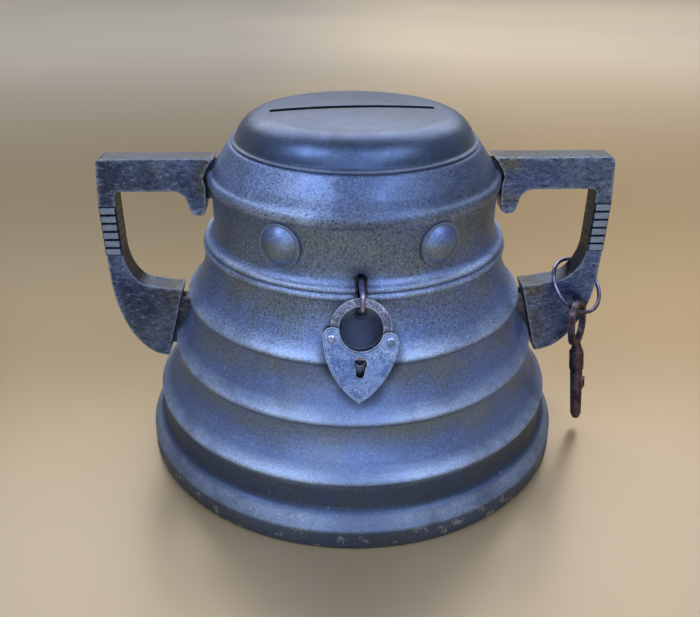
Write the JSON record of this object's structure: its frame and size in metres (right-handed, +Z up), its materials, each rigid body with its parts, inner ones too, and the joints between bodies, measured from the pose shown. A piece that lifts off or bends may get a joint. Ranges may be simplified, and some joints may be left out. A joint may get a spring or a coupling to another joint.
{
  "type": "money box",
  "caption": "Bell-shaped metal money box with two handles, a slotted dome, a hinged base held by a locking arm, a heart-shaped padlock, and a key on a ring.",
  "frame": {"origin": "centre of the round foot, on the plane it stands on", "axes": "+Z up; the padlock and bosses face -Y; the handles lie along X, the key ring hangs on the +X one"},
  "size_m": [0.1342, 0.114, 0.0892],
  "materials": {
    "bell": "satin cast pewter, mottled",
    "dome": "smooth satin pewter",
    "boss_left": "satin pewter",
    "boss_right": "satin pewter",
    "handle_left": "worn satin pewter",
    "handle_right": "worn satin pewter",
    "base_segment": "dull sheet",
    "base_plate": "dull sheet",
    "hinge_pin": "drawn wire",
    "keeper": "dull sheet",
    "bracket": "dull",
    "arm_pin": "drawn wire",
    "arm": "dull",
    "eye": "worn wire",
    "shackle": "worn nickel plate",
    "lock_front": "worn nickel plate",
    "lock_back": "worn nickel plate",
    "lock_rim": "worn nickel plate",
    "rivet_left": "worn",
    "rivet_right": "worn",
    "bolt": "plain",
    "spring": "plain",
    "key_ring": "darkened wire",
    "key": "rusty iron"
  },
  "bodies": {
    "body": {"bell_shell": "bell", "dome_cap": "dome", "front_boss_left": "boss_left", "front_boss_right": "boss_right", "left_handle": "handle_left", "right_handle": "handle_right", "base_segment": "base_segment", "base_hinge_pin": "hinge_pin", "arm_bracket": "bracket", "arm_pin": "arm_pin"},
    "base": {"base_plate": "base_plate", "base_keeper": "keeper"},
    "arm": {"locking_arm": "arm", "staple_eye": "eye"},
    "shackle": {"padlock_shackle": "shackle"},
    "case": {"padlock_front_plate": "lock_front", "padlock_back_plate": "lock_back", "padlock_rim": "lock_rim", "padlock_pivot_rivet": "rivet_left", "padlock_catch_rivet": "rivet_right", "padlock_spring": "spring"},
    "bolt": {"padlock_bolt": "bolt"},
    "ring": {"key_ring": "key_ring"},
    "key": {"key": "key"}
  },
  "joints": [
    {"name": "base_hinge", "type": "hinge", "parent": "body", "child": "base", "pos_m": [0, 0.0478, 0.00157], "axis": [1, 0, 0], "range_deg": [0, 105]},
    {"name": "arm_pivot", "type": "hinge", "parent": "body", "child": "arm", "pos_m": [0, -0.0372, 0.0445], "axis": [1, 0, 0], "range_deg": [0, 3]},
    {"name": "padlock_swing", "type": "hinge", "parent": "arm", "child": "shackle", "pos_m": [0, -0.04245, 0.0573], "axis": [-1, 0, 0], "range_deg": [0, 70]},
    {"name": "case_swing", "type": "hinge", "parent": "shackle", "child": "case", "pos_m": [-0.00672, -0.04474, 0.04992], "axis": [0, 0.9551, -0.2963], "range_deg": [0, 45]},
    {"name": "bolt_slide", "type": "slide", "parent": "case", "child": "bolt", "axis": [0.9994, -0.0103, -0.0333], "range_m": [0, 0.00075]},
    {"name": "key_ring_swing", "type": "hinge", "parent": "body", "child": "ring", "pos_m": [0.05699, 0.0001, 0.04466], "axis": [-0.5442, -0.781, -0.3063], "range_deg": [0, 18]},
    {"name": "key_swing", "type": "hinge", "parent": "ring", "child": "key", "pos_m": [0.06082, -0.00797, 0.03594], "axis": [-0.9041, -0.177, 0.389], "range_deg": [0, 30]}
  ]
}
